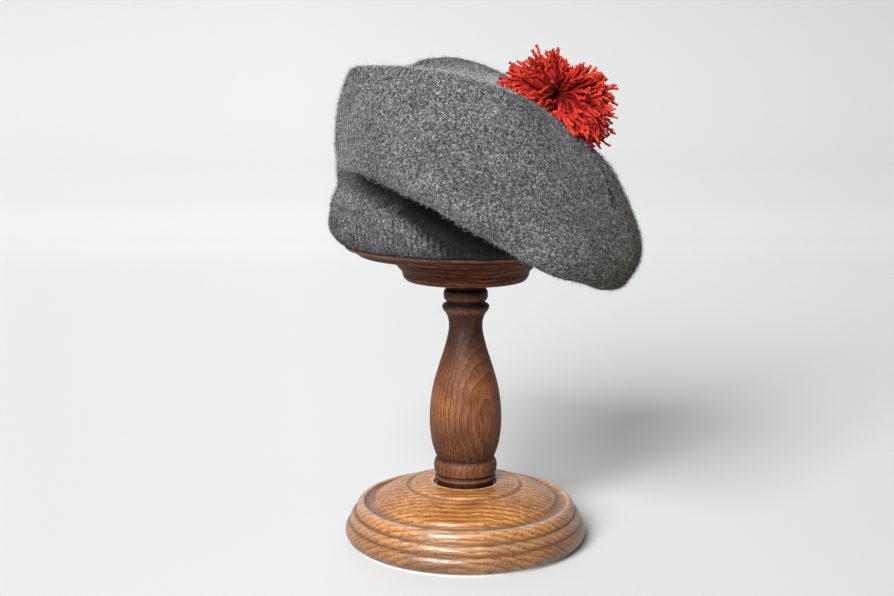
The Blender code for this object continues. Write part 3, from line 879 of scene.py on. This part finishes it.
def sockets(tree, kind, **values):
    """Named inputs of a geometry tree, with their first values."""
    for name, value in values.items():
        made = tree.interface.new_socket(
            name.replace("_", " "), in_out="INPUT", socket_type=f"NodeSocket{kind}"
        )
        if value is not None:
            made.default_value = value


def tree_end(tree, geometry, finish):
    """The end of a geometry tree: its instances made real, with their finish."""
    tree.interface.new_socket("Made", in_out="OUTPUT", socket_type="NodeSocketGeometry")
    real = node(tree, "GeometryNodeRealizeInstances", {0: geometry})
    ready = node(tree, "GeometryNodeSetMaterial", {"Geometry": real.outputs[0], "Material": finish})
    tree.links.new(ready.outputs[0], tree.nodes.new("NodeGroupOutput").inputs[0])
    return tree


def at_points(tree, name, kind="FLOAT"):
    """What each point has stored under that name."""
    found = node(tree, "GeometryNodeInputNamedAttribute", {"Name": name}, data_type=kind)
    return found.outputs[0]


MATTED = 0.3  # the share of the hairs that is missing deep in the fold, where they lie matted
SIZES_VARY = ((0.7, 1.25), (0.5, 1.3), (0.45, 1.25))  # across, through and along a hair
SHADES_VARY = (0.25, 0.75)
MOTTLE_SHARE, PATCH_SHARE = 2.6, 0.45


def hair_tree():
    """Hairs scattered over a mesh: each a closed bent spindle of six faces, laid down at random."""
    tree = bpy.data.node_groups.new("felt hairs", "GeometryNodeTree")
    sockets(tree, "Geometry", Skin=None)
    sockets(tree, "Float", Hairs_a_square_metre=1e5, Length=0.006, Thickness=0.00012, Bend=0.2,
            Arch=0.1, Least_lean=1.3, Most_lean=1.6, Mottle_size=0.0013, Patch_size=0.022,
            Paleness=0.0, Shelter_darkening=0.85)
    sockets(tree, "Int", Rings=2, Seed=1)
    sockets(tree, "Material", Finish=None)
    given = tree.nodes.new("NodeGroupInput").outputs
    length, thick = given["Length"], given["Thickness"]

    def scatter(low, high, seed_add):
        """A random number for each hair."""
        seed = plus(tree, given["Seed"], seed_add)
        return node(
            tree, "FunctionNodeRandomValue", {2: low, 3: high, 8: seed}, data_type="FLOAT"
        ).outputs[1]

    def mottled(size, share):
        """Soft spots of that size, from paler to darker."""
        place = node(tree, "GeometryNodeInputPosition").outputs[0]
        spots = grain_noise(tree, place, maths(tree, "DIVIDE", 1.0, size), 1.0)
        return times(tree, maths(tree, "SUBTRACT", spots, 0.5), share)

    shelter = at_points(tree, "shelter")
    matted = maths(tree, "SUBTRACT", 1.0, times(tree, shelter, MATTED))
    points = node(
        tree, "GeometryNodeDistributePointsOnFaces",
        {"Mesh": given["Skin"], "Seed": given["Seed"],
         "Density": times(tree, given["Hairs a square metre"], matted)},
        distribute_method="RANDOM",
    )
    ball = node(
        tree, "GeometryNodeMeshUVSphere", {"Segments": 3, "Rings": given["Rings"], "Radius": 0.5}
    )
    across, through, along = parts(tree, node(tree, "GeometryNodeInputPosition").outputs[0])
    bow = maths(tree, "SUBTRACT", 0.125, times(tree, along, times(tree, along, 0.5)))
    bow = times(tree, bow, 8.0)
    shaped = node(tree, "ShaderNodeCombineXYZ", {
        0: plus(tree, times(tree, across, thick), times(tree, bow, times(tree, given["Bend"], length))),
        1: plus(tree, times(tree, through, thick), times(tree, bow, times(tree, given["Arch"], length))),
        2: times(tree, along, length),
    }).outputs[0]
    hair = node(
        tree, "GeometryNodeSetPosition", {"Geometry": ball.outputs["Mesh"], "Position": shaped}
    )
    lean = node(tree, "ShaderNodeCombineXYZ", {
        0: scatter(given["Least lean"], given["Most lean"], 11), 2: scatter(0.0, 2 * math.pi, 12),
    })
    lean = node(tree, "FunctionNodeEulerToRotation", {0: lean.outputs[0]})
    laid = node(
        tree, "FunctionNodeRotateRotation",
        {0: points.outputs["Rotation"], 1: lean.outputs[0]}, rotation_space="LOCAL",
    )
    size = node(
        tree, "ShaderNodeCombineXYZ",
        {i: scatter(low, high, 13 + i) for i, (low, high) in enumerate(SIZES_VARY)},
    )
    hairs = node(
        tree, "GeometryNodeInstanceOnPoints",
        {"Points": points.outputs["Points"], "Instance": hair.outputs[0],
         "Rotation": laid.outputs[0], "Scale": size.outputs[0]},
    )
    tone = plus(
        tree, mottled(given["Mottle size"], MOTTLE_SHARE), mottled(given["Patch size"], PATCH_SHARE),
        scatter(*SHADES_VARY, 16), given["Paleness"],
    )
    # Painted shade and light: hairs are darker in the fold and paler on the crest and the crown's top.
    tone = maths(tree, "SUBTRACT", tone, times(tree, shelter, given["Shelter darkening"]))
    shaded = node(
        tree, "GeometryNodeStoreNamedAttribute",
        {"Geometry": hairs.outputs[0], "Name": "shade", "Value": tone},
        data_type="FLOAT", domain="INSTANCE",
    )
    return tree_end(tree, shaded.outputs[0], given["Finish"])


def grown(name, mesh, tree, slot, replaced=None, **sizes):
    """A plain piece that a geometry tree makes on a mesh. The sizes are the tree's named inputs."""
    made = bpy.data.objects.new(name, mesh)
    bpy.context.scene.collection.objects.link(made)
    work = made.modifiers.new("making", "NODES")
    work.node_group = tree
    for item in tree.interface.items_tree:
        given_as = item.name.lower().replace(" ", "_")
        if item.in_out == "INPUT" and given_as in sizes:
            work[item.identifier] = sizes[given_as]
    bpy.context.view_layer.update()
    graph = bpy.context.evaluated_depsgraph_get()
    result = bpy.data.meshes.new_from_object(made.evaluated_get(graph))
    made.modifiers.remove(work)
    made.data = result
    result.name = name
    result.shade_smooth()
    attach(made, "root")
    if replaced:
        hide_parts(replaced)


hair_wool, tree, shader = finish_named(
    "grey_wool_hair", Roughness=0.75, Sheen_Weight=0.03, Specular_IOR_Level=0.25
)
shade = node(tree, "ShaderNodeAttribute", attribute_name="shade").outputs["Fac"]
colour = ramp(tree, shade, [(0.0, FOLD_BLACK), (0.40, (0.033, 0.034, 0.034)),
                            (0.72, (0.112, 0.115, 0.114)), (1.0, (0.45, 0.455, 0.45))])
tree.links.new(multiplied(tree, colour, hung_side_shade(tree)), shader.inputs["Base Color"])

felt_hairs = hair_tree()
band_skin = ribbed_band.data.copy()
shape = bmesh.new()
shape.from_mesh(band_skin)
inside = [
    face for face in shape.faces
    if face.normal.dot(Vector((*face.calc_center_median()[:2], 0))) < 0
]
bmesh.ops.delete(shape, geom=inside, context="FACES")
shape.to_mesh(band_skin)
shape.free()

# hairs is how many grow on a square metre. Lengths and thicknesses are in millimetres, and the leans are
# in radians from straight out of the felt.
HairKind = namedtuple(
    "HairKind", "name skin hairs length thickness least_lean most_lean arch paleness seed"
)
HAIR_KINDS = [
    HairKind("crown_hairs_1", felt_skin, 245000.0, 2.6, 0.26, 1.40, 1.62, 0.05, 0.0, 11),
    HairKind("crown_hairs_2", felt_skin, 245000.0, 3.2, 0.22, 1.30, 1.60, 0.08, 0.0, 23),
    # The standing hairs are a little paler: painted light, for the lit fuzz at the hat's edge.
    HairKind("crown_hairs_3", felt_skin, 245000.0, 7.0, 0.17, 0.0, 1.25, 0.18, 0.16, 37),
    HairKind("band_hairs", band_skin, 1150000.0, 4.6, 0.18, 0.20, 1.60, 0.14, 0.0, 7),
]
for kind in HAIR_KINDS:
    grown(
        kind.name, kind.skin.copy(), felt_hairs, "grey_wool",
        hairs_a_square_metre=kind.hairs, length=kind.length / 1000,
        thickness=kind.thickness / 1000, bend=0.20, arch=kind.arch, least_lean=kind.least_lean,
        most_lean=kind.most_lean, paleness=kind.paleness, seed=kind.seed, finish=hair_wool,
    )

# ==================================================================== pompom
# A pompom of two-ply red yarn: strands tied together in the middle, cut at both ends and combed out, and
# sewn down to the crown, so that it spreads wide and low with a dark dimple over its knot.

YARN_RADIUS = 1.2  # of the two plies together
PLY_WAIST, PLY_SWELL = 0.52, 0.55  # the share of it between the plies, and how much more is at each
YARN_TWIST = 620.0  # radians of it in a metre
TWIST_START = 40.0  # so that no two strands start at the same turn
WAVES, WAVE_SPACING = 7.8, 15.0  # how far the yarn wanders, and over what length
KNOT_RADIUS = 2.5  # where the strands start, and how far their starts lie apart
KNOT_SPREAD = 2.6
HEART_HEIGHT = 9.5  # of the knot over the crown
SHORTEST_REACH = 12.0  # of the strands in the dimple, which stand straight out of the crown
SPREAD_REACH = 24.0  # how much further the strands that lie along the crown reach
REACH_CURVE = 1.2  # over 1, that grows late, near the crown
COMBED_BACK = 0.45  # the strands in front have been combed to both sides
TUFT_SPREAD = 0.15  # how far a tuft's strands spread round its own way
TUFT_SWAY, STRAND_SWAY = 3.0, 2.5  # how far the tips lean aside, tuft by tuft and strand by strand
DROOP = 8.0  # how far the tips of the strands along the crown hang down
HANGING_TUFTS = 12  # one tuft in so many hangs twice as far
# Seen from the front, its lobes and notches: shares of the reach at angles from the right, in degrees.
OUTLINE_ANGLES = (0, 22, 40, 60, 75, 105, 132, 150, 180, 210, 240, 268, 287, 300, 315, 338)
OUTLINE_SHARES = (
    0.97, 1.02, 1.28, 0.82, 0.95, 1.05, 0.90, 0.97, 1.2, 0.88, 0.88, 1.2, 1.3, 0.92, 0.98, 1.0
)
CLEAR_OF_FELT = 1.4  # a strand that would go through the felt lies on it, this far off
LIFT_STEP, LIFT_TRIES = 0.07, 12  # it is turned up in small steps until it does
TUFTS = 150
STRANDS_A_TUFT = 6

out = Vector((-CENTRE_SLOPE[0], -CENTRE_SLOPE[1], 1.0)).normalized()
heart = Vector(CROWN_CENTRE) + HEART_HEIGHT * out
felt_sides = [tuple(face.vertices) for face in felt_skin.polygons]
felt_tree = BVHTree.FromPolygons([vert.co for vert in felt_skin.vertices], felt_sides)


def over_felt(spot):
    """The height of a point over the crown's felt, in millimetres."""
    nearest, normal, _, _ = felt_tree.find_nearest(spot / 1000)
    return 1000 * (spot / 1000 - nearest).dot(normal)


front = Vector((-0.08, -0.99, 0.10)).normalized()
rng = random.Random(5)


def any_way(draw, *limits):
    """Three random numbers as a vector."""
    return Vector([draw(*limits) for _ in range(3)])


roots, ways, sways, shades = [], [], [], []
for tuft in range(TUFTS):
    while True:
        aim = any_way(rng.gauss, 0, 1).normalized()
        rise, toward = aim.dot(out), aim.dot(front)
        combed = toward < rng.uniform(0.40, 0.95) or rise < -0.1 or aim.x > 0.25 and aim.z < 0.2
        if -0.5 < rise < rng.uniform(0.72, 1.0) and combed:
            break
    tuft_length = rng.uniform(0.92, 1.07)
    tuft_shade = rng.uniform(-0.2, 0.2)
    tuft_sway = any_way(rng.uniform, -1, 1)
    for _ in range(STRANDS_A_TUFT):
        way = (aim + TUFT_SPREAD * any_way(rng.gauss, 0, 1)).normalized()
        way = (way - COMBED_BACK * max(0.0, way.dot(front)) ** 2 * front).normalized()
        stretch = tuft_length * rng.uniform(0.92, 1.04)
        loose = any_way(rng.uniform, -1, 1)
        hanging = rng.uniform(0.0, 1.0) * (2.0 if tuft % HANGING_TUFTS == 0 else 1.0)
        hanging *= 1 + max(0.0, way.dot(front))
        for _ in range(LIFT_TRIES):
            flat = math.sqrt(max(0.0, 1 - way.dot(out) ** 2))
            side = math.degrees(math.atan2(way.z, way.x)) % 360
            outline = float(np.interp(side, OUTLINE_ANGLES, OUTLINE_SHARES, period=360))
            reach = stretch * (SHORTEST_REACH + SPREAD_REACH * flat**REACH_CURVE)
            reach *= 1 + flat * (outline - 1)
            sway = TUFT_SWAY * tuft_sway + STRAND_SWAY * loose
            sway.z -= DROOP * max(0.0, 4 * flat - 3) * hanging
            tip, middle = heart + reach * way + sway, heart + 0.6 * reach * way
            if min(over_felt(tip), over_felt(middle)) > CLEAR_OF_FELT:
                break
            hanging *= 0.7
            way = (way + LIFT_STEP * out).normalized()
        roots.append((heart + KNOT_RADIUS * way + KNOT_SPREAD * loose) / 1000)
        ways.append(way * (reach - KNOT_RADIUS) / 1000)
        sways.append(sway / 1000)
        shades.append(min(1, max(0, 0.5 + tuft_shade + rng.uniform(-0.35, 0.35))))
strand_roots = bpy.data.meshes.new("strand roots")
strand_roots.from_pydata(roots, [], [])
for name, values in (("way", ways), ("sway", sways)):
    store = strand_roots.attributes.new(name, "FLOAT_VECTOR", "POINT")
    store.data.foreach_set("vector", np.ravel(values))
strand_roots.attributes.new("shade", "FLOAT", "POINT").data.foreach_set("value", shades)


def yarn_tree():
    """Strands of twisted yarn: a line along each root's way, bent, twisted and given two plies."""
    tree = bpy.data.node_groups.new("pompom yarn", "GeometryNodeTree")
    sockets(tree, "Geometry", Roots=None)
    sockets(tree, "Float", Yarn_radius=0.0008, Twist=500.0, Waves=0.003, Wave_spacing=0.02)
    sockets(tree, "Int", Rings=15)
    sockets(tree, "Material", Finish=None)
    given = tree.nodes.new("NodeGroupInput").outputs
    way, sway = (at_points(tree, name, "FLOAT_VECTOR") for name in ("way", "sway"))
    line = node(tree, "GeometryNodeCurvePrimitiveLine", {"End": (0, 0, 1)})
    line = node(tree, "GeometryNodeResampleCurve", {"Curve": line.outputs[0], "Count": given["Rings"]})
    facing_so = node(tree, "FunctionNodeAlignRotationToVector", {"Vector": way}, axis="Z")
    length = node(tree, "ShaderNodeVectorMath", {0: way}, operation="LENGTH")
    points = node(tree, "GeometryNodeMeshToPoints", {"Mesh": given["Roots"]})
    strands = node(
        tree, "GeometryNodeInstanceOnPoints",
        {"Points": points.outputs[0], "Instance": line.outputs[0],
         "Rotation": facing_so.outputs[0], "Scale": length.outputs["Value"]},
    )
    strands = node(tree, "GeometryNodeRealizeInstances", {0: strands.outputs[0]})
    run, far = node(tree, "GeometryNodeSplineParameter").outputs[:2]
    place = node(tree, "GeometryNodeInputPosition").outputs[0]
    wave = node(
        tree, "ShaderNodeTexNoise",
        {"Vector": place, "Scale": maths(tree, "DIVIDE", 1.0, given["Wave spacing"]), "Detail": 1.0},
    )
    wave = vectors(tree, "SUBTRACT", wave.outputs["Color"], (0.5, 0.5, 0.5))
    wave = vectors(tree, "SCALE", wave, times(tree, given["Waves"], times(tree, run, 2.0)))
    lean = vectors(tree, "SCALE", sway, times(tree, run, run))
    offset = vectors(tree, "ADD", wave, lean)
    bent = node(tree, "GeometryNodeSetPosition", {"Geometry": strands.outputs[0], "Offset": offset})
    start = times(tree, at_points(tree, "shade"), TWIST_START)
    tilt = plus(tree, times(tree, far, given["Twist"]), start)
    twisted = node(tree, "GeometryNodeSetCurveTilt", {"Curve": bent.outputs[0], "Tilt": tilt})
    twisted = node(
        tree, "GeometryNodeStoreNamedAttribute",
        {"Geometry": twisted.outputs[0], "Name": "run", "Value": run},
        data_type="FLOAT", domain="POINT",
    )
    ply = node(tree, "GeometryNodeCurvePrimitiveCircle", {"Resolution": 6, "Radius": 1.0})
    edge = node(tree, "GeometryNodeInputPosition").outputs[0]
    side = parts(tree, edge)[0]
    waist = plus(tree, PLY_WAIST, times(tree, side, side, PLY_SWELL))
    lobes = vectors(tree, "SCALE", edge, times(tree, given["Yarn radius"], waist))
    ply = node(tree, "GeometryNodeSetPosition", {"Geometry": ply.outputs[0], "Position": lobes})
    yarn = node(
        tree, "GeometryNodeCurveToMesh",
        {"Curve": twisted.outputs[0], "Profile Curve": ply.outputs[0], "Fill Caps": True},
    )
    return tree_end(tree, yarn.outputs[0], given["Finish"])


red_yarn, tree, shader = finish_named(
    "red_wool", Roughness=0.9, Sheen_Weight=0.05, Sheen_Roughness=0.4, Specular_IOR_Level=0.12
)
shader.inputs["Sheen Tint"].default_value = (1.0, 0.45, 0.35, 1)
shade = node(tree, "ShaderNodeAttribute", attribute_name="shade").outputs["Fac"]
colour = ramp(tree, shade, [(0.0, (0.31, 0.009, 0.007)), (0.5, (0.48, 0.018, 0.013)),
                            (1.0, (0.62, 0.036, 0.022))])
# Painted shade: each strand is darker towards the knot, where the heart of the pompom lies in shade, and
# lighter and oranger at its tip.
run = node(tree, "ShaderNodeAttribute", attribute_name="run").outputs["Fac"]
heart_shade_to_tip = ramp(tree, run, [(0.15, (0.24, 0.09, 0.09)), (0.50, (0.55, 0.31, 0.31)),
                               (0.80, (0.98, 1.05, 1.0)), (1.0, (1.08, 2.1, 1.7))])
colour = multiplied(tree, colour, heart_shade_to_tip)
fluff = grain_noise(tree, millimetres(tree), 1.6)
colour = multiplied(tree, colour, ramp(tree, fluff, [(0.3, 0.70), (0.7, 1.15)]))
tree.links.new(colour, shader.inputs["Base Color"])
bumped(tree, shader, fluff, 0.5, 0.8)
grown(
    "yarn_pompom", strand_roots, yarn_tree(), "red_wool", replaced="pompom",
    yarn_radius=YARN_RADIUS / 1000, twist=YARN_TWIST, waves=WAVES / 1000,
    wave_spacing=WAVE_SPACING / 1000, finish=red_yarn,
)

# ==================================================================== studio
# A plain pale table that sweeps up behind, a large soft light in front and to the left, and soft light
# all round, as the photograph was lit. None of it is part of the object.

PAPER_FRONT, PAPER_BEND, PAPER_TOP, PAPER_SIDE = -3.0, 1.4, 3.2, 3.5  # in metres
BEND_RADIUS = 0.6
SHADED_HEIGHT, SHADED_DEPTH = 450.0, 1400.0  # the paper's painted light and shade run so far up and back, in millimetres
SHADED_WIDTH = 0.7  # and so far across, as a share of the distance from the camera
CAMERA_DISTANCE, LEAST_DISTANCE = 960.0, 600.0  # to the stand's axis, and the least that counts
LOOKS_DOWN = 9.4  # the camera's tilt in degrees

sweep_line = [(PAPER_FRONT, 0.0)]
for k in range(19):
    bend = math.radians(5 * k)
    sweep_line.append(
        (PAPER_BEND + BEND_RADIUS * math.sin(bend), BEND_RADIUS - BEND_RADIUS * math.cos(bend))
    )
sweep_line.append((PAPER_BEND + BEND_RADIUS, PAPER_TOP))
shape = bmesh.new()
edges = [[shape.verts.new((x, y, z)) for y, z in sweep_line] for x in (-PAPER_SIDE, PAPER_SIDE)]
for i in range(len(sweep_line) - 1):
    shape.faces.new((edges[0][i], edges[1][i], edges[1][i + 1], edges[0][i + 1]))
pale_paper, tree, shader = finish_named("pale_paper", Roughness=0.9, Specular_IOR_Level=0.2)
across, back, up = parts(tree, millimetres(tree))
# Painted light and shade on the paper: lighter near the floor and darker up the wall, lighter farther back,
# and darker to the right, as the room's light falls off.
risen = ramp(tree, maths(tree, "DIVIDE", up, SHADED_HEIGHT), [
    (0.0, (0.735, 0.74, 0.74)), (0.009, (0.695, 0.70, 0.70)), (0.045, (0.635, 0.64, 0.64)),
    (0.18, (0.545, 0.55, 0.55)), (0.31, (0.505, 0.51, 0.51)), (1.0, (0.46, 0.465, 0.46)),
])
farther = ramp(tree, maths(tree, "DIVIDE", back, SHADED_DEPTH), [(0.0, 0.83), (1.0, 0.98)])
distance = maths(tree, "MAXIMUM", plus(tree, back, CAMERA_DISTANCE), LEAST_DISTANCE)
aside = maths(tree, "DIVIDE", maths(tree, "DIVIDE", across, distance), SHADED_WIDTH)
aside = ramp(
    tree, plus(tree, aside, 0.5), [(0.07, 0.95), (0.34, 1.0), (0.735, 0.935), (0.93, 0.89)]
)
paper_colour = multiplied(tree, multiplied(tree, risen, farther), aside)
tree.links.new(paper_colour, shader.inputs["Base Color"])
backdrop = kept("backdrop", into_mesh(shape, "backdrop"), pale_paper)

LIGHT_PLACE, LIGHT_AIM = Vector((-2.72, -6.10, 4.02)), Vector((0.0, 0.0, 0.20))
lamp = bpy.data.lights.new("key_light", "AREA")
lamp.shape = "SQUARE"
lamp.size = 4.0
lamp.energy = 1430
lamp.color = (0.98, 0.992, 1.0)
key_light = bpy.data.objects.new("key_light", lamp)
key_light.location = LIGHT_PLACE
key_light.rotation_euler = (LIGHT_AIM - LIGHT_PLACE).to_track_quat("-Z", "Y").to_euler()
bpy.context.scene.collection.objects.link(key_light)

world = bpy.data.worlds.new("soft room")
bpy.context.scene.world = world
world.use_nodes = True
tree = world.node_tree
up = parts(tree, node(tree, "ShaderNodeTexCoord").outputs["Generated"])[2]
room = ramp(tree, up, [
    (0.0, (0.05, 0.048, 0.043)), (0.30, (0.08, 0.076, 0.068)), (1.0, (0.22, 0.202, 0.173)),
])
# Past the paper's edges the camera sees a pale room, which lights nothing.
seen = node(tree, "ShaderNodeLightPath").outputs["Is Camera Ray"]
room = blend(tree, seen, room, (0.90, 0.905, 0.90))
tree.links.new(room, tree.nodes["Background"].inputs["Color"])

eye = bpy.data.cameras.new("camera")
eye.lens = 56.9
eye.sensor_width = 36.0
eye.clip_start = 0.01
camera = bpy.data.objects.new("camera", eye)
camera.location = (-0.0129, -0.9586, 0.330)
camera.rotation_euler = (math.radians(90 - LOOKS_DOWN), 0, 0)
bpy.context.scene.collection.objects.link(camera)
bpy.context.scene.camera = camera
bpy.context.scene.view_settings.view_transform = "Standard"
